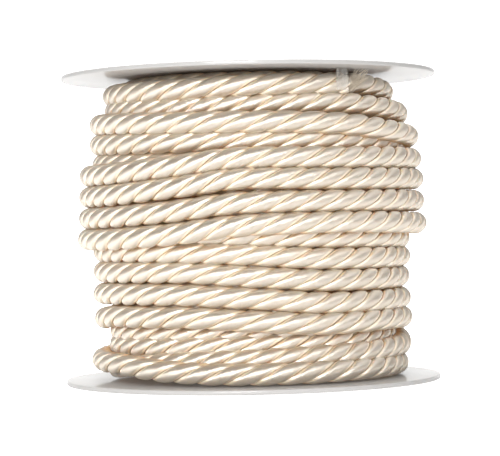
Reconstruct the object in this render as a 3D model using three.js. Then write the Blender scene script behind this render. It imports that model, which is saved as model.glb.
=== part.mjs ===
// Decorative cord wound on a plastic spool. Millimetres, +Z up along the spool's axis.
// The origin is the centre of the bottom flange's underside, on the surface that the spool stands on.
// Angles run round the axis from the front, which is -Y: +90 degrees is the right side, +X.
import * as THREE from "three";

const CORD_DIAMETER = 5;
const FLANGE_RADIUS = 44;
const FLANGE_THICKNESS = 1;
const FLANGE_SPACING = 70.2; // clear height between the two flanges
const BARREL_RADIUS = 19;
const BARREL_WALL = 1.5;
const COLLAR_WALL = 1;
const COLLAR_HEIGHT = 4; // how far a flange's collar reaches into the barrel
const CLEARANCE = 0.3; // air between two pieces that meet
const FLANGE_SIDES = 64;
const BARREL_SIDES = 48;
const WINDING_SIDES = 56;

const CORD_RADIUS = CORD_DIAMETER / 2;
const SPOOL_HEIGHT = FLANGE_SPACING + 2 * FLANGE_THICKNESS;
const BARREL_BORE = BARREL_RADIUS - BARREL_WALL;
const WINDING_FOOT = FLANGE_THICKNESS + CLEARANCE;
const WINDING_TOP = SPOOL_HEIGHT - FLANGE_THICKNESS - CLEARANCE;
const FULL_TURN = 360;

// Angles at which the turn table gives the height of a turn's centre line.
const STATION_ANGLES = { left: -90, left60: -60, left30: -30, front: 0, right30: 30, right60: 60, right: 90 };
// Angles at which it gives the radius of the centre line. A turn's back lies between it and the next turn.
const RADIUS_ANGLES = { rLeft: -90, rFront: 0, rRight: 90, rBack: 180 };

// The one cord, turn by turn, in the order in which it was wound: down the spool as the lower layer,
// then back up over it as the outer layer, and across to the top, where its cut end is. Under the outer
// layer, where nothing shows, the fifth turn stands for the turns on its way down.
const TURNS = [
  { left: 68.4, left60: 68.4, left30: 68.4, front: 68.4, right30: 68.3, right60: 68.0, right: 67.2,
    rLeft: 27.6, rFront: 28.5, rRight: 31.8, rBack: 31.6 },
  { left: 64.1, left60: 63.6, left30: 63.1, front: 63.2, right30: 63.5, right60: 62.8, right: 62.1,
    rLeft: 31.4, rFront: 32.4, rRight: 35.1, rBack: 35.2 },
  { left: 60.8, left60: 60.2, left30: 59.5, front: 59.2, right30: 58.8, right60: 57.4, right: 56.7,
    rLeft: 35.0, rFront: 36.6, rRight: 37.5, rBack: 36.0 },
  { left: 56.1, left60: 55.6, left30: 55.3, front: 55.2, right30: 54.9, right60: 54.6, right: 54.4,
    rLeft: 35.1, rFront: 35.2, rRight: 34.2, rBack: 34.4 },
  { left: 52.6, left60: 52.3, left30: 52.0, front: 50.6, right30: 48.4, right60: 45.8, right: 43.2,
    rLeft: 34.5, rFront: 34.0, rRight: 33.6, rBack: 34.0 },
  { left: 36.3, left60: 35.6, left30: 34.9, front: 34.1, right30: 33.6, right60: 33.3, right: 33.0,
    rLeft: 34.3, rFront: 34.6, rRight: 35.0, rBack: 35.0 },
  { left: 31.0, left60: 31.1, left30: 30.8, front: 30.0, right30: 28.8, right60: 28.7, right: 28.8,
    rLeft: 34.7, rFront: 35.0, rRight: 35.0, rBack: 35.0 },
  { left: 26.4, left60: 26.4, left30: 26.4, front: 25.2, right30: 24.0, right60: 23.9, right: 24.1,
    rLeft: 34.8, rFront: 35.0, rRight: 34.8, rBack: 34.8 },
  { left: 21.2, left60: 21.5, left30: 21.4, front: 20.4, right30: 19.0, right60: 18.9, right: 19.0,
    rLeft: 34.9, rFront: 35.1, rRight: 35.0, rBack: 35.0 },
  { left: 15.4, left60: 16.4, left30: 16.4, front: 15.4, right30: 14.4, right60: 14.6, right: 14.4,
    rLeft: 34.7, rFront: 35.2, rRight: 35.3, rBack: 35.4 },
  { left: 5.8, left60: 5.6, left30: 4.3, front: 3.8, right30: 3.8, right60: 3.8, right: 3.8,
    rLeft: 35.5, rFront: 35.4, rRight: 34.1, rBack: 33.0 },
  { left: 3.8, left60: 5.0, left30: 6.3, front: 6.9, right30: 7.2, right60: 7.6, right: 8.5,
    rLeft: 31.9, rFront: 32.8, rRight: 35.0, rBack: 39.4 },
  { left: 34.0, left60: 33.9, left30: 34.7, front: 36.6, right30: 36.9, right60: 36.6, right: 36.4,
    rLeft: 38.3, rFront: 38.6, rRight: 39.0, rBack: 38.4 },
  { left: 38.8, left60: 38.9, left30: 39.7, front: 41.5, right30: 41.6, right60: 41.6, right: 41.6,
    rLeft: 38.0, rFront: 38.4, rRight: 38.6, rBack: 38.2 },
  { left: 43.8, left60: 43.9, left30: 44.9, front: 46.8, right30: 46.5, right60: 46.6, right: 46.8,
    rLeft: 37.8, rFront: 38.2, rRight: 38.5, rBack: 38.1 },
  { left: 48.8, left60: 48.7, left30: 49.6, front: 51.3, right30: 51.2, right60: 51.3, right: 51.6,
    rLeft: 37.6, rFront: 38.0, rRight: 38.1, rBack: 40.2 },
];

// The last stretch lies over the first turn and ends at the cut. Past the cut its line sinks under the
// first turn, so that every section round the spool passes the same number of turns.
const END_STRETCH = [
  { angle: -90, height: 67.4, radius: 31.8 },
  { angle: -30, height: 67.0, radius: 32.8 },
  { angle: 0, height: 67.4, radius: 33.2 },
  { angle: 30, height: 67.6, radius: 33.2 },
  { angle: 41, height: 67.4, radius: 32.8 },
  { angle: 49, height: 68.0, radius: 26.5 },
  { angle: 180, height: 68.4, radius: 26.5 },
];
const START_OF_CORD = { angle: -180, height: 68.4, radius: 26.5 };

// Two turns of the layer below, which show between the lower layer's turns near the bottom.
const UNDER_TURNS = [
  { left: 9.2, front: 10.0, right: 10.7, back: 9.8, radius: 31.4 },
  { left: 12.4, front: 12.6, right: 12.8, back: 12.6, radius: 31.2 },
];
// Outer radius of what lies under the visible turns, and how it steps in below the top flange.
const UNDER_LAYER = [
  { height: 0, radius: 33 },
  { height: 64.5, radius: 33 },
  { height: 66.5, radius: 27.5 },
  { height: SPOOL_HEIGHT, radius: 27.5 },
];

// The clear strip of tape that holds the cut end up to the top flange.
const TAPE = { from: 33.1, to: 37.8, foot: 66.2, radius: 36.4, thickness: 0.35, sides: 4 };

const GROOVE_DEPTH = 1.75; // of a groove between two turns that touch
const FLANK_SLOPE = 2.5; // how steeply a turn's side falls to what lies beside it
const ROWS_PER_TURN = 4;
const LEAST_ROW_GAP = 0.2;
const DEGREE = Math.PI / 180;

// A curve through the points [at, value] that never swings past a point's value.
function smoothCurve(points) {
  const at = points.map((p) => p[0]);
  const value = points.map((p) => p[1]);
  const last = points.length - 1;
  const step = (i) => (value[i + 1] - value[i]) / (at[i + 1] - at[i]);
  const slope = value.map((_, i) => {
    if (i === 0) return step(0);
    if (i === last) return step(last - 1);
    const before = step(i - 1);
    const after = step(i);
    return before * after <= 0 ? 0 : (2 * before * after) / (before + after);
  });
  return (x) => {
    let i = 0;
    while (i < last - 1 && x > at[i + 1]) i += 1;
    const width = at[i + 1] - at[i];
    const t = Math.min(1, Math.max(0, (x - at[i]) / width));
    const rise = t * t * (3 - 2 * t);
    const leave = t * (1 - t) * (1 - t) * width * slope[i];
    const arrive = t * t * (t - 1) * width * slope[i + 1];
    return value[i] + (value[i + 1] - value[i]) * rise + leave + arrive;
  };
}

// The centre line of the whole cord: its height and radius at an angle that counts on, turn after turn.
function cordLine() {
  const heights = [[START_OF_CORD.angle, START_OF_CORD.height]];
  const radii = [[START_OF_CORD.angle, START_OF_CORD.radius]];
  TURNS.forEach((turn, k) => {
    for (const [name, angle] of Object.entries(STATION_ANGLES)) {
      heights.push([angle + FULL_TURN * k, turn[name]]);
    }
    for (const [name, angle] of Object.entries(RADIUS_ANGLES)) {
      radii.push([angle + FULL_TURN * k, turn[name]]);
    }
  });
  for (const { angle, height, radius } of END_STRETCH) {
    heights.push([angle + FULL_TURN * TURNS.length, height]);
    radii.push([angle + FULL_TURN * TURNS.length, radius]);
  }
  return { height: smoothCurve(heights), radius: smoothCurve(radii), turns: TURNS.length + 1 };
}

// One turn of the layer below, as a ring that closes on itself at the back.
function underLine({ left, front, right, back, radius }) {
  const height = smoothCurve([[-180, back], [-90, left], [0, front], [90, right], [180, back]]);
  return { height, radius: () => radius, turns: 1 };
}

// Where each turn passes a section at the given angle, from the lowest up.
function passesAt(angle, lines) {
  const passes = [];
  for (const line of lines) {
    for (let k = 0; k < line.turns; k += 1) {
      const along = angle + FULL_TURN * k;
      passes.push({ height: line.height(along), radius: line.radius(along) });
    }
  }
  return passes.sort((a, b) => a.height - b.height);
}

// The heights of a section's rows: one on each turn's crest and the rest evenly between two crests.
function rowHeights(passes) {
  const leastStep = LEAST_ROW_GAP * ROWS_PER_TURN;
  const crests = passes.map((p) => p.height);
  for (let i = 1; i < crests.length; i += 1) {
    crests[i] = Math.max(crests[i], crests[i - 1] + leastStep);
  }
  crests[crests.length - 1] = Math.min(crests[crests.length - 1], WINDING_TOP - leastStep);
  for (let i = crests.length - 2; i >= 0; i -= 1) {
    crests[i] = Math.min(crests[i], crests[i + 1] - leastStep);
  }
  const rows = [WINDING_FOOT, (WINDING_FOOT + crests[0]) / 2];
  crests.forEach((crest, i) => {
    const next = i + 1 < crests.length ? crests[i + 1] : crest;
    const count = i + 1 < crests.length ? ROWS_PER_TURN : 1;
    for (let row = 0; row < count; row += 1) {
      rows.push(crest + ((next - crest) * row) / count);
    }
  });
  rows.push((crests[crests.length - 1] + WINDING_TOP) / 2, WINDING_TOP);
  return rows;
}

// How far a turn's surface stands out from its centre line, at a distance above or below that line.
function ridge(off) {
  if (off > CORD_RADIUS) return CORD_RADIUS - GROOVE_DEPTH - FLANK_SLOPE * (off - CORD_RADIUS);
  return CORD_RADIUS - GROOVE_DEPTH * (off / CORD_RADIUS) ** 2;
}

// The winding's outer radius at a height: whichever turn stands out most there.
function outerRadius(height, passes, underLayer) {
  const ridges = passes.map((pass) => pass.radius + ridge(Math.abs(height - pass.height)));
  return Math.max(underLayer(height), ...ridges);
}

// Joins neighbouring rings of points, each a closed ring of the same count, and closes the last on the first.
// Each patch is folded along the diagonal that stands out more, so a ridge that crosses it stays whole.
function closedRings(rings) {
  const sides = rings[0].length;
  const positions = rings.flat(2);
  const reach = rings.flat().map(([x, y]) => Math.hypot(x, y));
  const index = [];
  rings.forEach((_, row) => {
    const next = (row + 1) % rings.length;
    for (let side = 0; side < sides; side += 1) {
      const beside = (side + 1) % sides;
      const a = row * sides + side;
      const b = row * sides + beside;
      const c = next * sides + beside;
      const d = next * sides + side;
      if (reach[a] + reach[c] >= reach[b] + reach[d]) index.push(a, b, c, a, c, d);
      else index.push(a, b, d, b, c, d);
    }
  });
  const geometry = new THREE.BufferGeometry();
  geometry.setAttribute("position", new THREE.Float32BufferAttribute(positions, 3));
  geometry.setIndex(index);
  geometry.computeVertexNormals();
  return geometry;
}

// The wound cord as one ring round the barrel, with every visible turn as a ridge.
function windingGeometry() {
  const lines = [cordLine(), ...UNDER_TURNS.map(underLine)];
  const underLayer = smoothCurve(UNDER_LAYER.map((u) => [u.height, u.radius]));
  const inner = BARREL_RADIUS + CLEARANCE;
  const columns = [];
  for (let side = 0; side < WINDING_SIDES; side += 1) {
    const angle = (FULL_TURN * side) / WINDING_SIDES - FULL_TURN / 2;
    const passes = passesAt(angle, lines);
    const wall = rowHeights(passes).map((z) => ({ z, radius: outerRadius(z, passes, underLayer) }));
    const section = [...wall, { z: WINDING_TOP, radius: inner }, { z: WINDING_FOOT, radius: inner }];
    const [across, along] = [Math.sin(angle * DEGREE), -Math.cos(angle * DEGREE)];
    columns.push(section.map(({ z, radius }) => [radius * across, radius * along, z]));
  }
  return closedRings(columns[0].map((_, row) => columns.map((column) => column[row])));
}

// A ring turned about the spool's axis from a closed profile of [radius, height] corners.
function turnedRing(corners, sides) {
  const profile = [...corners, corners[0]].map(([radius, height]) => new THREE.Vector2(radius, height));
  const geometry = new THREE.LatheGeometry(profile, sides);
  return geometry.rotateX(Math.PI / 2);
}

// A flange is a thin disc with a short collar that plugs into the barrel and leaves the bore open.
function flangeGeometry() {
  const collarRadius = BARREL_BORE - CLEARANCE;
  const boreRadius = collarRadius - COLLAR_WALL;
  const corners = [
    [boreRadius, 0],
    [FLANGE_RADIUS, 0],
    [FLANGE_RADIUS, FLANGE_THICKNESS],
    [collarRadius, FLANGE_THICKNESS],
    [collarRadius, FLANGE_THICKNESS + COLLAR_HEIGHT],
    [boreRadius, FLANGE_THICKNESS + COLLAR_HEIGHT],
  ];
  return turnedRing(corners, FLANGE_SIDES);
}

// The barrel is a plain tube between the flanges.
function barrelGeometry() {
  const corners = [
    [BARREL_BORE, WINDING_FOOT],
    [BARREL_RADIUS, WINDING_FOOT],
    [BARREL_RADIUS, WINDING_TOP],
    [BARREL_BORE, WINDING_TOP],
  ];
  return turnedRing(corners, BARREL_SIDES);
}

// The strip of tape stands upright on the cut end, curved as the winding is.
function tapeGeometry() {
  const start = (TAPE.from - 90) * DEGREE;
  const end = (TAPE.to - 90) * DEGREE;
  const outline = new THREE.Shape();
  outline.absarc(0, 0, TAPE.radius, start, end, false);
  outline.absarc(0, 0, TAPE.radius - TAPE.thickness, end, start, true);
  const depth = WINDING_TOP - TAPE.foot;
  const options = { depth, bevelEnabled: false, curveSegments: TAPE.sides };
  const geometry = new THREE.ExtrudeGeometry(outline, options);
  return geometry.translate(0, 0, TAPE.foot);
}

const cream = { color: 0xe9dcc6, roughness: 0.45, metalness: 0 };
const milky = { color: 0xf1f2f1, roughness: 0.3, metalness: 0, transparent: true, opacity: 0.75 };
const clear = { color: 0xf4f6f6, roughness: 0.1, metalness: 0, transparent: true, opacity: 0.35 };

function piece(name, geometry, finish) {
  const mesh = new THREE.Mesh(geometry, new THREE.MeshStandardMaterial(finish));
  mesh.name = name;
  return mesh;
}

const spool = new THREE.Group();
spool.add(piece("flange_bottom", flangeGeometry(), milky));
spool.add(piece("barrel", barrelGeometry(), milky));
const flangeTop = piece("flange_top", flangeGeometry(), milky);
flangeTop.position.z = SPOOL_HEIGHT;
flangeTop.rotation.x = Math.PI;
spool.add(flangeTop);

const cord = new THREE.Group();
cord.add(piece("cord_winding", windingGeometry(), cream));
cord.add(piece("tape", tapeGeometry(), clear));

const part = new THREE.Group();
part.add(spool, cord);

export default part;
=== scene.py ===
import math
import bmesh
import bpy
import numpy as np
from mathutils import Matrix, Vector


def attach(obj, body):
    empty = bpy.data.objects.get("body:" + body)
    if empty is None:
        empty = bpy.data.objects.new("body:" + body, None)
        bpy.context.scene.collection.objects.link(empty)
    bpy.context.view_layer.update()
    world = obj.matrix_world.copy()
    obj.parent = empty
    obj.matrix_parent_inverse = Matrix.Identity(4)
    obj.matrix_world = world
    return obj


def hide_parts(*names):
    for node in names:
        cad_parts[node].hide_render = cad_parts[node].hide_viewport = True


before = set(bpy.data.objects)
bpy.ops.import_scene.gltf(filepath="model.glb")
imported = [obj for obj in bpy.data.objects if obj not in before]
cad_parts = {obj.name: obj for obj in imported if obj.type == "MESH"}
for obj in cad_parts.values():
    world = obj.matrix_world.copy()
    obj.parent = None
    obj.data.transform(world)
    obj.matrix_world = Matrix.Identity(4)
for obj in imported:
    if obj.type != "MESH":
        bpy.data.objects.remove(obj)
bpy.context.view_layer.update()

# The camera
# It stands level in front of the spool, about half a metre away and halfway up it, and leans a degree
# to one side, as in the photograph.
CAMERA_PLACE = (-0.00017, -0.4828, 0.03593)
CAMERA_LENS = 146.88
CAMERA_SENSOR = 36.0
CAMERA_ROLL = math.radians(1.147)

lens = bpy.data.cameras.new("camera")
lens.sensor_width = CAMERA_SENSOR
lens.lens = CAMERA_LENS
lens.clip_start = 0.01
lens.clip_end = 20
camera = bpy.data.objects.new("camera", lens)
camera.location = CAMERA_PLACE
camera.rotation_euler = (math.radians(90), CAMERA_ROLL, 0)
bpy.context.collection.objects.link(camera)
bpy.context.scene.camera = camera


# The flanges
# Two thin discs of milky, half clear plastic, each moulded in one piece with a short collar round its
# bore. The collar plugs into the barrel, so the cord can't slide off either end.
MM = 0.001
FLANGE_RADIUS = 44 * MM
FLANGE_THICKNESS = 1 * MM
RIM_ROUNDING = 0.3 * MM
COLLAR_RADIUS = 17.2 * MM
BORE_RADIUS = 16.2 * MM
COLLAR_HEIGHT = 4 * MM
SPOOL_HEIGHT = 72.2 * MM
TURNED_SIDES = 192
ARC_STEPS = 5
SHARP_ANGLE = math.radians(35)


def fill(tree, kind, inputs=None, **settings):
    """Adds a node with its settings, and links or fills its inputs by name or place."""
    node = tree.nodes.new(kind)
    for key, value in settings.items():
        setattr(node, key, value)
    for place, value in (inputs or {}).items():
        if isinstance(value, bpy.types.NodeSocket):
            tree.links.new(value, node.inputs[place])
        else:
            node.inputs[place].default_value = value
    return node


def calc(tree, operation, *values):
    """A Math node's result, from sockets or plain numbers."""
    return fill(tree, "ShaderNodeMath", dict(enumerate(values)), operation=operation).outputs[0]


def new_material(name):
    """An empty node material with its output and a Principled shader, joined."""
    material = bpy.data.materials.new(name)
    material.use_nodes = True
    tree = material.node_tree
    tree.nodes.clear()
    shader = tree.nodes.new("ShaderNodeBsdfPrincipled")
    output = tree.nodes.new("ShaderNodeOutputMaterial")
    tree.links.new(shader.outputs[0], output.inputs["Surface"])
    return material, tree, shader


def rounded_corner(centre, radius, start, end):
    """Points of a quarter arc in a profile, as (radius, height) pairs."""
    angles = np.radians(np.linspace(start, end, ARC_STEPS))
    return [(centre[0] + radius * math.cos(a), centre[1] + radius * math.sin(a)) for a in angles]


def turned(name, profile):
    """A ring turned about the spool's axis from a closed profile of (radius, height) points."""
    bm = bmesh.new()
    rings = []
    for side in range(TURNED_SIDES):
        angle = 2 * math.pi * side / TURNED_SIDES
        across, along = math.cos(angle), math.sin(angle)
        rings.append([bm.verts.new((r * across, r * along, z)) for r, z in profile])
    count = len(profile)
    for side, ring in enumerate(rings):
        beside = rings[(side + 1) % TURNED_SIDES]
        for i in range(count):
            j = (i + 1) % count
            bm.faces.new((ring[i], beside[i], beside[j], ring[j]))
    bmesh.ops.recalc_face_normals(bm, faces=bm.faces)
    for face in bm.faces:
        face.smooth = True
    mesh = bpy.data.meshes.new(name)
    bm.to_mesh(mesh)
    bm.free()
    mesh.set_sharp_from_angle(angle=SHARP_ANGLE)
    piece = bpy.data.objects.new(name, mesh)
    bpy.context.collection.objects.link(piece)
    return piece


def flange_profile():
    """The bottom flange's section: a disc with a rounded rim, and the collar on its upper face."""
    rim = FLANGE_RADIUS - RIM_ROUNDING
    top = FLANGE_THICKNESS
    return [
        (BORE_RADIUS, 0),
        *rounded_corner((rim, RIM_ROUNDING), RIM_ROUNDING, -90, 0),
        *rounded_corner((rim, top - RIM_ROUNDING), RIM_ROUNDING, 0, 90),
        (COLLAR_RADIUS, top),
        (COLLAR_RADIUS, top + COLLAR_HEIGHT),
        (BORE_RADIUS, top + COLLAR_HEIGHT),
    ]


def milky_plastic(name, clearness):
    """Moulded plastic: cloudy white with a smooth, faintly rippled face, half clear where it is thin."""
    material, tree, shader = new_material(name)
    place = fill(tree, "ShaderNodeTexCoord").outputs["Object"]
    cloud = fill(tree, "ShaderNodeTexNoise", {"Vector": place, "Scale": 60.0, "Detail": 3.0})
    tint = fill(tree, "ShaderNodeMix", {0: cloud.outputs[0]}, data_type="RGBA")
    tint.inputs["A"].default_value = (0.4, 0.39, 0.38, 1)
    tint.inputs["B"].default_value = (0.46, 0.45, 0.44, 1)
    tree.links.new(tint.outputs["Result"], shader.inputs["Base Color"])
    ripple = fill(tree, "ShaderNodeTexNoise", {"Vector": place, "Scale": 180.0, "Detail": 2.0})
    bump = fill(tree, "ShaderNodeBump", {
        "Height": ripple.outputs[0], "Strength": 0.05, "Distance": 0.00005})
    tree.links.new(bump.outputs[0], shader.inputs["Normal"])
    rough = fill(tree, "ShaderNodeMapRange", {"Value": cloud.outputs[0], "To Min": 0.45, "To Max": 0.6})
    tree.links.new(rough.outputs[0], shader.inputs["Roughness"])
    shader.inputs["IOR"].default_value = 1.49
    shader.inputs["Specular IOR Level"].default_value = 0.1
    shader.inputs["Coat Weight"].default_value = 0.5
    shader.inputs["Coat Roughness"].default_value = 0.12
    shader.inputs["Transmission Weight"].default_value = clearness
    return material


THIN_CLEARNESS = 0.15
thin_plastic = milky_plastic("milky_plastic", THIN_CLEARNESS)
section = flange_profile()
bottom = turned("bottom_flange", section)
top = turned("top_flange", [(r, SPOOL_HEIGHT - z) for r, z in section])
for flange, node in ((bottom, "flange_bottom"), (top, "flange_top")):
    flange.data.materials.append(thin_plastic)
    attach(flange, "root")
    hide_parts(node)


# The barrel
# A plain tube of the same plastic, thick enough to be solid white, which the two collars plug into. The
# cord is wound on it, so it shows only through the bore.
BARREL_RADIUS = 19 * MM
BARREL_BORE = 17.5 * MM
BARREL_FOOT = 1.3 * MM

barrel = turned("spool_barrel", [
    (BARREL_BORE, BARREL_FOOT),
    (BARREL_RADIUS, BARREL_FOOT),
    (BARREL_RADIUS, SPOOL_HEIGHT - BARREL_FOOT),
    (BARREL_BORE, SPOOL_HEIGHT - BARREL_FOOT),
])
barrel.data.materials.append(milky_plastic("solid_plastic", 0.0))
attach(barrel, "root")
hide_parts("barrel")


# The cord
# Three plump strands of satin filament yarn laid together left-handed into one soft cord, wound down
# the spool as a lower layer and back up over it. The table gives the centre line turn by turn.
CORD_RADIUS = 2.5 * MM
STRANDS = 3
STRAND_HALF_WIDTH = 1.5 * MM
STRAND_HALF_HEIGHT = 1.3 * MM
STRAND_FULLNESS = 0.86
LAY_RADIUS = CORD_RADIUS - STRAND_HALF_HEIGHT
STRAND_SIDES = 16
STEP = 0.8 * MM
UNEVENNESS = 0.05
WANDER = 0.09 * MM
WANDER_SCALE = 140.0
MEAN_TURN_RADIUS = 35
FILAMENT_PITCH = 0.3 * MM
FILAMENTS_ROUND = 10.0
STREAKS_PER_METRE = 1100.0
BUNDLES_PER_METRE = 500.0
FULL_TURN = 360.0

# Heights and radii of a turn's centre line in millimetres, at angles from the front, which is -Y, with
# 90 degrees on the right. The last two columns are where a strand's crest faces out near the front, and
# how far apart the crests are there, in degrees.
HEIGHT_ANGLES = (-90, -60, -30, 0, 30, 60, 90)
RADIUS_ANGLES = (-90, 0, 90, 180)
TURNS = [
    # left, left60, left30, front, right30, right60, right, rLeft, rFront, rRight, rBack, crest, spacing
    (68.4, 68.4, 68.4, 68.4, 68.3, 68.0, 67.2, 27.6, 28.5, 31.8, 31.6, -0.3, 11.0),
    (64.1, 63.6, 63.1, 63.2, 63.5, 62.8, 62.1, 31.4, 32.4, 35.1, 35.2, 0.8, 9.2),
    (60.8, 60.2, 59.5, 59.2, 58.8, 57.4, 56.7, 35.0, 36.6, 37.5, 36.0, -1.5, 9.15),
    (56.1, 55.6, 55.3, 55.2, 54.9, 54.6, 54.4, 35.1, 35.2, 34.2, 34.4, 0.0, 9.4),
    (51.6, 51.1, 50.6, 50.1, 49.6, 49.2, 48.8, 34.5, 34.0, 33.6, 34.0, -4.2, 8.7),
    (46.4, 46.0, 45.6, 45.2, 44.8, 44.4, 44.1, 34.0, 34.0, 34.0, 34.0, 0.0, 9.4),
    (41.3, 40.9, 40.5, 40.1, 39.7, 39.3, 38.9, 34.0, 34.0, 34.0, 34.0, 0.0, 9.4),
    (36.3, 35.6, 34.9, 34.1, 33.6, 33.3, 33.0, 34.3, 34.6, 35.0, 35.0, -1.2, 9.4),
    (31.0, 31.1, 30.8, 30.0, 28.8, 28.7, 28.8, 34.7, 35.0, 35.0, 35.0, 1.9, 9.45),
    (26.4, 26.4, 26.4, 25.2, 24.0, 23.9, 24.1, 34.8, 35.0, 34.8, 34.8, -3.0, 9.3),
    (21.2, 21.5, 21.4, 20.4, 19.0, 18.9, 19.0, 34.9, 35.1, 35.0, 35.0, 0.0, 9.25),
    (15.4, 16.4, 16.4, 15.4, 14.4, 14.6, 14.4, 34.7, 35.2, 35.3, 35.4, 4.8, 9.7),
    (5.8, 5.6, 4.3, 3.8, 3.8, 3.8, 3.8, 35.5, 35.4, 34.1, 33.0, 0.5, 9.5),
    (3.8, 5.0, 6.3, 6.9, 7.2, 7.6, 8.5, 31.9, 32.8, 35.0, 39.4, 3.2, 9.2),
    (34.0, 33.9, 34.7, 36.6, 36.9, 36.6, 36.4, 38.3, 38.6, 39.0, 38.4, 1.7, 8.2),
    (38.8, 38.9, 39.7, 41.5, 41.6, 41.6, 41.6, 38.0, 38.4, 38.6, 38.2, -2.8, 8.6),
    (43.8, 43.9, 44.9, 46.8, 46.5, 46.6, 46.8, 37.8, 38.2, 38.5, 38.1, 0.8, 8.5),
    (48.8, 48.7, 49.6, 51.3, 51.2, 51.3, 51.6, 37.6, 38.0, 38.1, 40.2, -0.7, 8.35),
]
# The first turn comes up from the layers below, next to the top flange: angle, height, radius.
START_OF_CORD = [(-540, 68.4, 21.8), (-360, 68.4, 24.0), (-180, 68.4, 26.5)]
# The last stretch lies over the first turn and ends at the cut: angle, height, radius.
END_STRETCH = [(-90, 67.4, 31.8), (-30, 67.0, 32.8), (0, 67.4, 33.2), (30, 67.6, 33.2), (41, 67.4, 32.8)]
END_CREST, END_SPACING = 5.0, 10.3
FRONT_REACH = 55.0


def smooth_curve(points):
    """A curve through (at, value) points that never swings past a point's value."""
    at, value = np.array(points, float).T
    step = np.diff(value) / np.diff(at)
    before, after = step[:-1], step[1:]
    steady = before * after > 0
    middle = np.where(steady, 2 * before * after / np.where(steady, before + after, 1), 0)
    slope = np.concatenate([step[:1], middle, step[-1:]])

    def curve(x):
        i = np.clip(np.searchsorted(at, x) - 1, 0, len(at) - 2)
        width = at[i + 1] - at[i]
        t = np.clip((x - at[i]) / width, 0, 1)
        rise = value[i] + (value[i + 1] - value[i]) * t * t * (3 - 2 * t)
        leave = t * (1 - t) ** 2 * width * slope[i]
        arrive = t * t * (t - 1) * width * slope[i + 1]
        return rise + leave + arrive

    return curve


def strand_crests():
    """Counts strand crests along the cord, from the crests that the table gives for each turn's front."""
    fronts = [row[-2:] for row in TURNS] + [(END_CREST, END_SPACING)]
    knots = []
    for k, (crest, spacing) in enumerate(fronts):
        first, last = ((side - crest) / spacing for side in (-FRONT_REACH, FRONT_REACH))
        whole = 0
        if knots:
            behind = FULL_TURN - 2 * FRONT_REACH
            even = (spacing + fronts[k - 1][1]) / 2
            whole = round(knots[-1][1] + behind / even - first)
        knots.append((FULL_TURN * k - FRONT_REACH, first + whole))
        knots.append((FULL_TURN * k + FRONT_REACH, last + whole))
    return knots


def whole_line():
    """The cord's height, radius and crest count as curves of an angle that counts on, turn after turn."""
    heights = [(angle, height) for angle, height, _ in START_OF_CORD]
    radii = [(angle, radius) for angle, _, radius in START_OF_CORD]
    for k, row in enumerate(TURNS):
        heights += [(angle + FULL_TURN * k, row[i]) for i, angle in enumerate(HEIGHT_ANGLES)]
        columns = row[len(HEIGHT_ANGLES):]
        radii += [(angle + FULL_TURN * k, columns[i]) for i, angle in enumerate(RADIUS_ANGLES)]
    for angle, height, radius in END_STRETCH:
        heights.append((angle + FULL_TURN * len(TURNS), height))
        radii.append((angle + FULL_TURN * len(TURNS), radius))
    knots = strand_crests()
    slope = (knots[1][1] - knots[0][1]) / (knots[1][0] - knots[0][0])
    start = START_OF_CORD[0][0]
    end = END_STRETCH[-1][0] + FULL_TURN * len(TURNS)
    knots.insert(0, (start, knots[0][1] + (start - knots[0][0]) * slope))
    at, crests = np.array(knots).T
    return smooth_curve(heights), smooth_curve(radii), lambda x: np.interp(x, at, crests), (start, end)


def stretch(curves, first, last, step):
    """Points, outward directions and twist angles along the line between two angles."""
    height, radius, crests = curves[:3]
    count = int(math.radians(last - first) * MEAN_TURN_RADIUS * MM / step)
    angle = np.linspace(first, last, count)
    turn = np.radians(angle)
    outward = np.stack([np.sin(turn), -np.cos(turn), np.zeros(count)], 1)
    points = outward * (radius(angle) * MM)[:, None]
    points[:, 2] = height(angle) * MM
    return points, outward, crests(angle) * 2 * math.pi / STRANDS


def vector(tree, operation, a, b=None, scale=None):
    """A Vector Math node's result, from sockets or plain vectors."""
    inputs = {0: a}
    if b is not None:
        inputs[1] = b
    if scale is not None:
        inputs["Scale"] = scale
    node = fill(tree, "ShaderNodeVectorMath", inputs, operation=operation)
    return node.outputs["Value" if operation in ("LENGTH", "DOT_PRODUCT") else "Vector"]


def begin_tree(name, sizes):
    """An empty Geometry Nodes tree with named inputs for its sizes, and their sockets inside it."""
    tree = bpy.data.node_groups.new(name, "GeometryNodeTree")
    for size, kind in sizes:
        tree.interface.new_socket(size, in_out="INPUT", socket_type="NodeSocket" + kind)
    tree.interface.new_socket("Shape", in_out="OUTPUT", socket_type="NodeSocketGeometry")
    return tree, tree.nodes.new("NodeGroupInput").outputs


def end_tree(tree, shape, material):
    """Smooths the shape, makes its instances real, gives it the material and ends the tree with it."""
    shape = fill(tree, "GeometryNodeSetShadeSmooth", {"Geometry": shape}).outputs[0]
    shape = fill(tree, "GeometryNodeRealizeInstances", {"Geometry": shape}).outputs[0]
    shape = fill(tree, "GeometryNodeSetMaterial", {"Geometry": shape, "Material": material}).outputs[0]
    fill(tree, "NodeGroupOutput", {0: shape})


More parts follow.
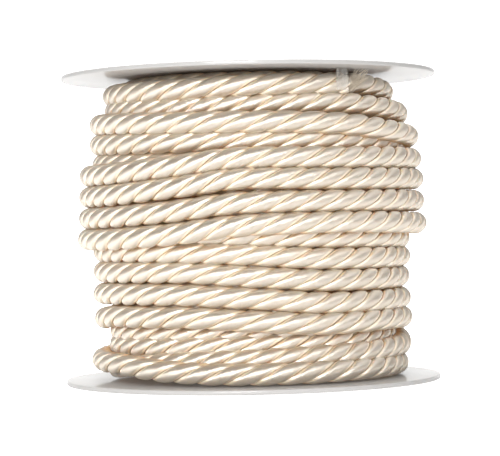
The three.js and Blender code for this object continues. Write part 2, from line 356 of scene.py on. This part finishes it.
def laid_cord_tree():
    """Lays strands round a centre line that carries the attributes outward and twist."""
    tree, given = begin_tree("laid_cord", [
        ("Centre line", "Geometry"), ("Strands", "Int"), ("Sides", "Int"), ("Half width", "Float"),
        ("Half height", "Float"), ("Fullness", "Float"), ("Lay radius", "Float"), ("Unevenness", "Float"),
        ("Wander", "Float"), ("Material", "Material"),
    ])

    def named(name, kind):
        return fill(tree, "GeometryNodeInputNamedAttribute", {"Name": name}, data_type=kind).outputs[0]

    def store(geometry, name, kind, value):
        inputs = {"Geometry": geometry, "Name": name, "Value": value}
        return fill(tree, "GeometryNodeStoreNamedAttribute", inputs, data_type=kind,
                    domain="POINT").outputs[0]

    line = fill(tree, "GeometryNodeMeshToCurve", {0: given["Centre line"]}).outputs[0]
    position = fill(tree, "GeometryNodeInputPosition").outputs[0]
    line = store(line, "axis", "FLOAT_VECTOR", position)
    copies = fill(tree, "GeometryNodeDuplicateElements", {"Geometry": line, "Amount": given["Strands"]},
                  domain="SPLINE")
    outward = named("outward", "FLOAT_VECTOR")
    tangent = fill(tree, "GeometryNodeInputTangent").outputs[0]
    upward = vector(tree, "CROSS_PRODUCT", outward, tangent)
    share = calc(tree, "DIVIDE", copies.outputs["Duplicate Index"], given["Strands"])
    angle = calc(tree, "ADD", named("twist", "FLOAT"), calc(tree, "MULTIPLY", share, 2 * math.pi))
    out_part = vector(tree, "SCALE", outward, scale=calc(tree, "COSINE", angle))
    up_part = vector(tree, "SCALE", upward, scale=calc(tree, "SINE", angle))
    away = vector(tree, "ADD", out_part, up_part)
    geometry = store(copies.outputs["Geometry"], "away", "FLOAT_VECTOR", away)
    offset = vector(tree, "SCALE", away, scale=given["Lay radius"])
    apart = vector(tree, "SCALE", (0.31, 0.17, 0.23), scale=share)
    drift = fill(tree, "ShaderNodeTexNoise", {
        "Vector": vector(tree, "ADD", position, apart), "Scale": WANDER_SCALE, "Detail": 1.0})
    centred = vector(tree, "SUBTRACT", drift.outputs["Color"], (0.5, 0.5, 0.5))
    sway = vector(tree, "SCALE", centred, scale=calc(tree, "MULTIPLY", given["Wander"], 2.0))
    moved = fill(tree, "GeometryNodeSetPosition", {
        "Geometry": geometry, "Offset": vector(tree, "ADD", offset, sway)}).outputs[0]
    swell = calc(tree, "MULTIPLY", calc(tree, "SUBTRACT", drift.outputs[0], 0.5), 2.0)
    plump = calc(tree, "MULTIPLY_ADD", swell, given["Unevenness"], 1.0)
    moved = fill(tree, "GeometryNodeSetCurveRadius", {"Curve": moved, "Radius": plump}).outputs[0]
    moved = fill(tree, "GeometryNodeSetCurveNormal", {
        "Curve": moved, "Normal": named("away", "FLOAT_VECTOR")}, mode="FREE").outputs[0]
    run = fill(tree, "GeometryNodeInputTangent").outputs[0]
    moved = store(moved, "run", "FLOAT_VECTOR", run)
    length = fill(tree, "GeometryNodeSplineParameter").outputs["Length"]
    moved = store(moved, "along", "FLOAT", length)

    profile = fill(tree, "GeometryNodeCurvePrimitiveCircle", {
        "Resolution": given["Sides"], "Radius": 1.0}, mode="RADIUS").outputs[0]
    index = fill(tree, "GeometryNodeInputIndex").outputs[0]
    round_angle = calc(tree, "MULTIPLY", calc(tree, "DIVIDE", index, given["Sides"]), 2 * math.pi)
    corner = []
    for name, operation, half in (
        ("round_cos", "COSINE", given["Half height"]), ("round_sin", "SINE", given["Half width"]),
    ):
        part = calc(tree, operation, round_angle)
        profile = store(profile, name, "FLOAT", part)
        full = calc(tree, "POWER", calc(tree, "ABSOLUTE", part), given["Fullness"])
        corner.append(calc(tree, "MULTIPLY", calc(tree, "MULTIPLY", calc(tree, "SIGN", part), full), half))
    place = fill(tree, "ShaderNodeCombineXYZ", dict(enumerate(corner))).outputs[0]
    profile = fill(tree, "GeometryNodeSetPosition", {"Geometry": profile, "Position": place}).outputs[0]
    tube = fill(tree, "GeometryNodeCurveToMesh", {
        "Curve": moved, "Profile Curve": profile, "Fill Caps": True}).outputs[0]

    yarn = fill(tree, "ShaderNodeCombineXYZ", {
        0: named("round_cos", "FLOAT"), 1: named("round_sin", "FLOAT"),
        2: named("along", "FLOAT")}).outputs[0]
    tube = store(tube, "yarn", "FLOAT_VECTOR", yarn)
    reach = vector(tree, "SUBTRACT", position, named("axis", "FLOAT_VECTOR"))
    size = calc(tree, "ADD", given["Half height"], given["Lay radius"])
    depth = calc(tree, "DIVIDE", vector(tree, "LENGTH", reach), size)
    facing = calc(tree, "DIVIDE", vector(tree, "DOT_PRODUCT", reach, outward), size)
    lie = fill(tree, "ShaderNodeCombineXYZ", {0: depth, 1: facing}).outputs[0]
    end_tree(tree, store(tube, "lie", "FLOAT_VECTOR", lie), given["Material"])
    return tree


def made_by_tree(name, mesh, tree, sizes):
    """A piece whose plain mesh a Geometry Nodes tree makes from a starting mesh and its named sizes."""
    piece = bpy.data.objects.new(name, mesh)
    bpy.context.collection.objects.link(piece)
    modifier = piece.modifiers.new(tree.name, "NODES")
    modifier.node_group = tree
    for item in tree.interface.items_tree:
        if item.in_out == "INPUT" and item.name in sizes:
            modifier[item.identifier] = sizes[item.name]
    graph = bpy.context.evaluated_depsgraph_get()
    solid = bpy.data.meshes.new_from_object(piece.evaluated_get(graph))
    piece.modifiers.remove(modifier)
    piece.data = solid
    solid.name = name
    return piece


def lay_cord(name, line, sizes):
    """A stretch of cord as one plain mesh, made along the points, outward directions and twist given."""
    points, outward, twist = line
    mesh = bpy.data.meshes.new(name)
    mesh.from_pydata(points.tolist(), [(i, i + 1) for i in range(len(points) - 1)], [])
    mesh.attributes.new("outward", "FLOAT_VECTOR", "POINT").data.foreach_set("vector", outward.ravel())
    mesh.attributes.new("twist", "FLOAT", "POINT").data.foreach_set("value", twist)
    piece = made_by_tree(name, mesh, LAID_CORD, sizes)
    for attribute in ("axis", "outward", "away", "twist", "along", "round_cos", "round_sin"):
        if attribute in piece.data.attributes:
            piece.data.attributes.remove(piece.data.attributes[attribute])
    return piece


def satin_yarn():
    """Cream filament yarn: fine filaments wound round each strand, glossy, with painted shade and warm
    light in the grooves.
    """
    material, tree, shader = new_material("satin_yarn")
    yarn = fill(tree, "ShaderNodeAttribute", attribute_name="yarn").outputs["Vector"]
    lie = fill(tree, "ShaderNodeAttribute", attribute_name="lie").outputs["Vector"]
    run = fill(tree, "ShaderNodeAttribute", attribute_name="run").outputs["Vector"]
    part = fill(tree, "ShaderNodeSeparateXYZ", {0: yarn}).outputs
    depth, facing = fill(tree, "ShaderNodeSeparateXYZ", {0: lie}).outputs[:2]
    angle = calc(tree, "ARCTAN2", part[1], part[0])

    streak_place = fill(tree, "ShaderNodeCombineXYZ", {
        0: part[0], 1: part[1], 2: calc(tree, "MULTIPLY", part[2], STREAKS_PER_METRE)}).outputs[0]
    streak = fill(tree, "ShaderNodeTexNoise", {"Vector": streak_place, "Scale": 2.0, "Detail": 3.0})
    bundle_place = fill(tree, "ShaderNodeCombineXYZ", {
        0: part[0], 1: part[1], 2: calc(tree, "MULTIPLY", part[2], BUNDLES_PER_METRE)}).outputs[0]
    bundle = fill(tree, "ShaderNodeTexNoise", {"Vector": bundle_place, "Scale": 1.0, "Detail": 2.0})
    count = calc(tree, "MULTIPLY_ADD", part[2], 2 * math.pi / FILAMENT_PITCH,
                 calc(tree, "MULTIPLY", angle, FILAMENTS_ROUND))
    filament = calc(tree, "SINE", calc(tree, "MULTIPLY_ADD", bundle.outputs[0], 9.0, count))
    height = calc(tree, "MULTIPLY_ADD", filament, 0.25, streak.outputs[0])
    height = calc(tree, "MULTIPLY_ADD", bundle.outputs[0], 0.8, height)
    bump = fill(tree, "ShaderNodeBump", {"Height": height, "Strength": 0.8, "Distance": 0.00007})
    tree.links.new(bump.outputs[0], shader.inputs["Normal"])
    tree.links.new(run, shader.inputs["Tangent"])

    # Painted shade: a dark line down each valley between strands, and painted warm bounce light on its
    # edges; the crest keeps the yarn's own grey cream.
    ramp = fill(tree, "ShaderNodeValToRGB", {0: depth})
    yarn_and_painted_shade_tones = [
        (0.765, (0.10, 0.045, 0.015, 1)), (0.81, (0.46, 0.31, 0.18, 1)), (0.88, (0.76, 0.61, 0.44, 1)),
        (0.95, (0.28, 0.23, 0.175, 1)),
    ]
    stops = ramp.color_ramp.elements
    while len(stops) < len(yarn_and_painted_shade_tones):
        stops.new(0.5)
    for stop, (at, tone) in zip(stops, yarn_and_painted_shade_tones):
        stop.position = at
        stop.color = tone
    # Painted warm bounce light: the cord's sides that face inward, into the grooves between turns, get a
    # warm orange tone.
    outer_part = fill(tree, "ShaderNodeMapRange", {"Value": facing, "From Min": -0.35, "From Max": 0.4},
                      interpolation_type="SMOOTHSTEP").outputs[0]
    shade = fill(tree, "ShaderNodeMix", {0: outer_part, "B": ramp.outputs[0]}, data_type="RGBA")
    shade.inputs["A"].default_value = (0.68, 0.46, 0.27, 1)
    mottle = fill(tree, "ShaderNodeMapRange", {"Value": streak.outputs[0], "To Min": 0.9, "To Max": 1.08})
    tone = fill(tree, "ShaderNodeMix", {0: 1.0, "A": shade.outputs["Result"]},
                data_type="RGBA", blend_type="MULTIPLY")
    grey = fill(tree, "ShaderNodeCombineColor", {channel: mottle.outputs[0] for channel in range(3)})
    tree.links.new(grey.outputs[0], tone.inputs["B"])
    tree.links.new(tone.outputs["Result"], shader.inputs["Base Color"])
    open_part = fill(tree, "ShaderNodeMapRange", {
        "Value": depth, "From Min": 0.72, "From Max": 0.82}).outputs[0]
    tree.links.new(calc(tree, "MULTIPLY", open_part, outer_part), shader.inputs["Specular IOR Level"])
    shader.inputs["Roughness"].default_value = 0.49
    shader.inputs["IOR"].default_value = 3.0
    shader.inputs["Specular Tint"].default_value = (1, 0.93, 0.83, 1)
    shader.inputs["Anisotropic"].default_value = 0.85
    # Painted glow: the inward faces in the grooves between turns give off a faint warm light.
    painted_groove_glow = calc(tree, "MULTIPLY", calc(tree, "SUBTRACT", 1.0, outer_part), 0.045)
    tree.links.new(painted_groove_glow, shader.inputs["Emission Strength"])
    shader.inputs["Emission Color"].default_value = (0.85, 0.5, 0.26, 1)
    shader.inputs["Subsurface Weight"].default_value = 0.5
    shader.inputs["Subsurface Radius"].default_value = (1.0, 0.5, 0.25)
    shader.inputs["Subsurface Scale"].default_value = 1.5 * MM
    return material


LAID_CORD = laid_cord_tree()
SATIN = satin_yarn()
FINE_CORD = {
    "Strands": STRANDS, "Sides": STRAND_SIDES, "Half width": STRAND_HALF_WIDTH,
    "Half height": STRAND_HALF_HEIGHT, "Fullness": STRAND_FULLNESS, "Lay radius": LAY_RADIUS,
    "Unevenness": UNEVENNESS, "Wander": WANDER, "Material": SATIN,
}
# The one line is made as three pieces, which meet at the back.
UPPER_END = 5.5 * FULL_TURN
LOWER_END = 12.5 * FULL_TURN

cord_line = whole_line()
line_start, line_end = cord_line[3]
for name, first, last in (
    ("cord_upper_turns", line_start, UPPER_END),
    ("cord_lower_turns", UPPER_END, LOWER_END),
    ("cord_outer_turns", LOWER_END, line_end),
):
    piece = lay_cord(name, stretch(cord_line, first, last, STEP), FINE_CORD)
    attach(piece, "root")
    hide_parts("cord_winding")


# The layers below
# The same cord, wound up and down the barrel before the turns that show. The outermost of these layers
# shows only in the gaps between the turns above it, so their strands have fewer sides.
LAYER_PITCH = 5.0
LAYER_SPACING = 10.6
LAYER_CREST = 3.2
# Angle, height and radius of the layer that shows in gaps: its lowest turns climb less than the others.
GAP_LAYER = [
    (-450, 4.6, 31.1), (-90, 9.2, 31.4), (0, 10.0, 31.4), (90, 10.7, 31.4), (270, 12.4, 31.2),
    (360, 12.6, 30.6), (450, 12.8, 30.4), (630, 16.9, 31.1), (720, 18.1, 31.1), (3500, 56.7, 31.1),
    (4030, 62.4, 29.8),
]
GAP_SIDES = 8
GAP_STEP = 1.3 * MM
# The layers that stay hidden, by their radius. All climb evenly from the foot to their last angle.
HIDDEN_LAYERS = [("cord_second_layer", 26.4), ("cord_first_layer", 21.9)]
HIDDEN_FOOT = 3.8
HIDDEN_END = 4240.0
HIDDEN_SIDES = 6
HIDDEN_STEP = 1.8 * MM

gap_heights = smooth_curve([(angle, height) for angle, height, _ in GAP_LAYER])
gap_radii = smooth_curve([(angle, radius) for angle, _, radius in GAP_LAYER])
gap_line = (gap_heights, gap_radii, lambda x: (x - LAYER_CREST) / LAYER_SPACING)
layers = [("cord_gap_layer", gap_line, GAP_LAYER[0][0], GAP_LAYER[-1][0], GAP_SIDES, GAP_STEP)]
for name, radius in HIDDEN_LAYERS:
    hidden_line = (
        lambda x: HIDDEN_FOOT + LAYER_PITCH * x / FULL_TURN,
        lambda x, radius=radius: np.full(len(x), radius),
        lambda x: x / LAYER_SPACING,
    )
    layers.append((name, hidden_line, 0.0, HIDDEN_END, HIDDEN_SIDES, HIDDEN_STEP))
for name, line, first, last, sides, step in layers:
    piece = lay_cord(name, stretch(line, first, last, step), dict(FINE_CORD, Sides=sides))
    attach(piece, "root")
    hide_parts("cord_winding")


# The frayed end
# The cord is cut off with scissors, so its filaments spring apart at the cut. They point up and to the
# right, over the first turn, to the underside of the top flange.
CUT_ANGLE = math.radians(41)
CUT_RADIUS = 34.0 * MM
CUT_HEIGHT = 66.7 * MM
FRAY_SEGMENTS = 8
FRAY_SIDES = 5
FRAY_BEND = (0.12, 0, 0.55)
FRAY_SHORTEST = 0.45
FRAY_TAPER = -0.45


def frayed_end_tree():
    """Springs bent filaments of uneven length from random places round a root, towards a heading."""
    tree, given = begin_tree("frayed_end", [
        ("Start", "Geometry"), ("Count", "Int"), ("Root", "Vector"), ("Heading", "Vector"),
        ("Root width", "Float"), ("Length", "Float"), ("Spread", "Float"), ("Thickness", "Float"),
        ("Seed", "Int"), ("Material", "Material"),
    ])

    def random_value(kind, low, high, draw):
        low_input, result = {"FLOAT_VECTOR": (0, 0), "FLOAT": (2, 1)}[kind]
        inputs = {low_input: low, low_input + 1: high, "Seed": calc(tree, "ADD", given["Seed"], draw)}
        return fill(tree, "FunctionNodeRandomValue", inputs, data_type=kind).outputs[result]

    def scattered(middle, reach, draw):
        shift = random_value("FLOAT_VECTOR", (-1, -1, -1), (1, 1, 1), draw)
        return vector(tree, "ADD", middle, vector(tree, "SCALE", shift, scale=reach))

    roots = scattered(given["Root"], given["Root width"], 1)
    points = fill(tree, "GeometryNodePoints", {"Count": given["Count"], "Position": roots}).outputs[0]
    heading = scattered(given["Heading"], given["Spread"], 2)
    roll = fill(tree, "ShaderNodeCombineXYZ", {
        2: random_value("FLOAT", 0.0, 2 * math.pi, 3)}).outputs[0]
    turn = fill(tree, "FunctionNodeEulerToRotation", {0: roll}).outputs[0]
    aim = fill(tree, "FunctionNodeAlignRotationToVector", {
        "Rotation": turn, "Vector": heading}, axis="Z").outputs[0]
    reach = calc(tree, "MULTIPLY", given["Length"], random_value("FLOAT", FRAY_SHORTEST, 1.0, 4))
    filament = fill(tree, "GeometryNodeCurveQuadraticBezier", {
        "Resolution": FRAY_SEGMENTS, "Start": (0, 0, 0), "Middle": FRAY_BEND, "End": (0, 0, 1)}).outputs[0]
    size = fill(tree, "ShaderNodeCombineXYZ", {0: reach, 1: reach, 2: reach}).outputs[0]
    placed = fill(tree, "GeometryNodeInstanceOnPoints", {
        "Points": points, "Instance": filament, "Rotation": aim, "Scale": size}).outputs[0]
    lines = fill(tree, "GeometryNodeRealizeInstances", {"Geometry": placed}).outputs[0]
    factor = fill(tree, "GeometryNodeSplineParameter").outputs["Factor"]
    taper = calc(tree, "MULTIPLY_ADD", factor, FRAY_TAPER, 1.0)
    lines = fill(tree, "GeometryNodeSetCurveRadius", {"Curve": lines, "Radius": taper}).outputs[0]
    profile = fill(tree, "GeometryNodeCurvePrimitiveCircle", {
        "Resolution": FRAY_SIDES, "Radius": given["Thickness"]}, mode="RADIUS").outputs[0]
    tube = fill(tree, "GeometryNodeCurveToMesh", {
        "Curve": lines, "Profile Curve": profile, "Fill Caps": True}).outputs[0]
    end_tree(tree, tube, given["Material"])
    return tree


def loose_filament():
    """Single satin filaments, cream and shiny, a little uneven in tone."""
    material, tree, shader = new_material("loose_filament")
    place = fill(tree, "ShaderNodeTexCoord").outputs["Object"]
    uneven = fill(tree, "ShaderNodeTexNoise", {"Vector": place, "Scale": 2500.0, "Detail": 2.0})
    tint = fill(tree, "ShaderNodeMix", {0: uneven.outputs[0]}, data_type="RGBA")
    tint.inputs["A"].default_value = (0.50, 0.42, 0.32, 1)
    tint.inputs["B"].default_value = (0.76, 0.68, 0.56, 1)
    tree.links.new(tint.outputs["Result"], shader.inputs["Base Color"])
    bump = fill(tree, "ShaderNodeBump", {"Height": uneven.outputs[0], "Strength": 0.3, "Distance": 0.00002})
    tree.links.new(bump.outputs[0], shader.inputs["Normal"])
    shader.inputs["Roughness"].default_value = 0.35
    return material


across = Vector((math.sin(CUT_ANGLE), -math.cos(CUT_ANGLE), 0))
onward = Vector((math.cos(CUT_ANGLE), math.sin(CUT_ANGLE), 0))
FRAY = {
    "Root": tuple(across * CUT_RADIUS + Vector((0, 0, CUT_HEIGHT))),
    "Heading": tuple(onward * 0.8 + Vector((0, 0, 0.55)) + across * 0.03),
    "Count": 80, "Root width": 1.2 * MM, "Length": 6.5 * MM, "Spread": 0.22, "Thickness": 0.05 * MM,
    "Seed": 5, "Material": loose_filament(),
}
fray = made_by_tree("cord_frayed_end", bpy.data.meshes.new("cord_frayed_end"), frayed_end_tree(), FRAY)
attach(fray, "root")


# The tape
# A narrow strip of clear, slightly hazy film with a sticky back. It holds the cut end of the cord up to
# the top flange. Its shape comes ready made from the part's own solid.
def clear_film():
    """Thin see-through film with faint upright streaks."""
    material, tree, shader = new_material("clear_film")
    place = fill(tree, "ShaderNodeTexCoord").outputs["Object"]
    squeezed = fill(tree, "ShaderNodeMapping", {"Vector": place, "Scale": (1, 1, 0.08)}).outputs[0]
    streak = fill(tree, "ShaderNodeTexNoise", {"Vector": squeezed, "Scale": 900.0, "Detail": 2.0})
    cloudy = fill(tree, "ShaderNodeMapRange", {
        "Value": streak.outputs[0], "From Min": 0.35, "From Max": 0.65, "To Min": 0.06, "To Max": 0.26})
    tree.links.new(cloudy.outputs[0], shader.inputs["Alpha"])
    bump = fill(tree, "ShaderNodeBump", {"Height": streak.outputs[0], "Strength": 0.3, "Distance": 0.0001})
    tree.links.new(bump.outputs[0], shader.inputs["Normal"])
    shader.inputs["Base Color"].default_value = (0.68, 0.66, 0.62, 1)
    shader.inputs["Roughness"].default_value = 0.3
    shader.inputs["IOR"].default_value = 1.4
    return material


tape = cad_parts["tape"]
tape.material_slots[0].material = clear_film()


# The surroundings
# A pale sweep of floor and backdrop with a painted glow, brightest at its back and middle, a broad soft
# light a little to the left of the camera and above it, and two weak ones over the spool and behind it.
SWEEP_WIDTH = 6.0
SWEEP_FRONT = -3.0
SWEEP_BACK = 1.2
SWEEP_HEIGHT = 3.0
SWEEP_BEND = 0.6
SWEEP_STEPS = 12


def sweep_profile():
    """The sweep's section from front to top, as (y, z) pairs."""
    bend = [
        (SWEEP_BACK - SWEEP_BEND + SWEEP_BEND * math.sin(a), SWEEP_BEND - SWEEP_BEND * math.cos(a))
        for a in np.linspace(0, math.pi / 2, SWEEP_STEPS)
    ]
    return [(SWEEP_FRONT, 0), *bend, (SWEEP_BACK, SWEEP_HEIGHT)]


def glowing_paper():
    """Matt white paper with a painted glow, strongest towards its middle and back, so that it stays pale
    there.
    """
    material, tree, shader = new_material("glowing_paper")
    place = fill(tree, "ShaderNodeTexCoord").outputs["Object"]
    grain = fill(tree, "ShaderNodeTexNoise", {"Vector": place, "Scale": 400.0})
    bump = fill(tree, "ShaderNodeBump", {"Height": grain.outputs[0], "Strength": 0.02, "Distance": 0.0002})
    tree.links.new(bump.outputs[0], shader.inputs["Normal"])
    shader.inputs["Base Color"].default_value = (0.55, 0.55, 0.55, 1)
    shader.inputs["Roughness"].default_value = 0.9
    shader.inputs["Emission Color"].default_value = (1, 1, 1, 1)
    side, depth = fill(tree, "ShaderNodeSeparateXYZ", {0: place}).outputs[:2]
    # Painted glow: the paper gives off light, strongest at the back and middle, weaker towards the front
    # and the sides.
    glow = fill(tree, "ShaderNodeMapRange", {
        "Value": depth, "From Min": -0.3, "From Max": 0.15, "To Min": 0.15, "To Max": 0.95})
    middle = fill(tree, "ShaderNodeMapRange", {
        "Value": calc(tree, "ABSOLUTE", side), "From Min": 0.3, "From Max": 0.9,
        "To Min": 1.0, "To Max": 0.45})
    strength = calc(tree, "MULTIPLY", glow.outputs[0], middle.outputs[0])
    tree.links.new(strength, shader.inputs["Emission Strength"])
    return material


corners = [(x, y, z) for x in (-SWEEP_WIDTH / 2, SWEEP_WIDTH / 2) for y, z in sweep_profile()]
half = len(corners) // 2
sweep_mesh = bpy.data.meshes.new("sweep")
sweep_mesh.from_pydata(corners, [], [(half + i, half + i + 1, i + 1, i) for i in range(half - 1)])
sweep_mesh.polygons.foreach_set("use_smooth", [True] * len(sweep_mesh.polygons))
sweep = bpy.data.objects.new("sweep", sweep_mesh)
sweep_mesh.materials.append(glowing_paper())
bpy.context.collection.objects.link(sweep)

LIGHTS = [
    # name, place, aim, width, height, watts
    ("front_box", (-0.15, -0.9, 0.25), (0, 0, 0.036), 0.5, 0.46, 10.8),
    ("top_box", (0, 0.05, 0.8), (0, 0, 0.036), 0.3, 0.3, 7.0),
    ("back_box", (-0.5, 1.0, 0.9), (0, 0, 0.036), 0.8, 0.8, 1.2),
]
for name, place, aim, width, height, watts in LIGHTS:
    light = bpy.data.lights.new(name, "AREA")
    light.shape = "RECTANGLE"
    light.size, light.size_y = width, height
    light.energy = watts
    lamp = bpy.data.objects.new(name, light)
    lamp.location = place
    lamp.rotation_euler = (Vector(aim) - Vector(place)).to_track_quat("-Z", "Y").to_euler()
    bpy.context.collection.objects.link(lamp)

world = bpy.data.worlds.new("soft_room")
world.use_nodes = True
world.node_tree.nodes["Background"].inputs["Color"].default_value = (1, 1, 1, 1)
world.node_tree.nodes["Background"].inputs["Strength"].default_value = 0.26
bpy.context.scene.world = world
bpy.context.scene.view_settings.view_transform = "Standard"
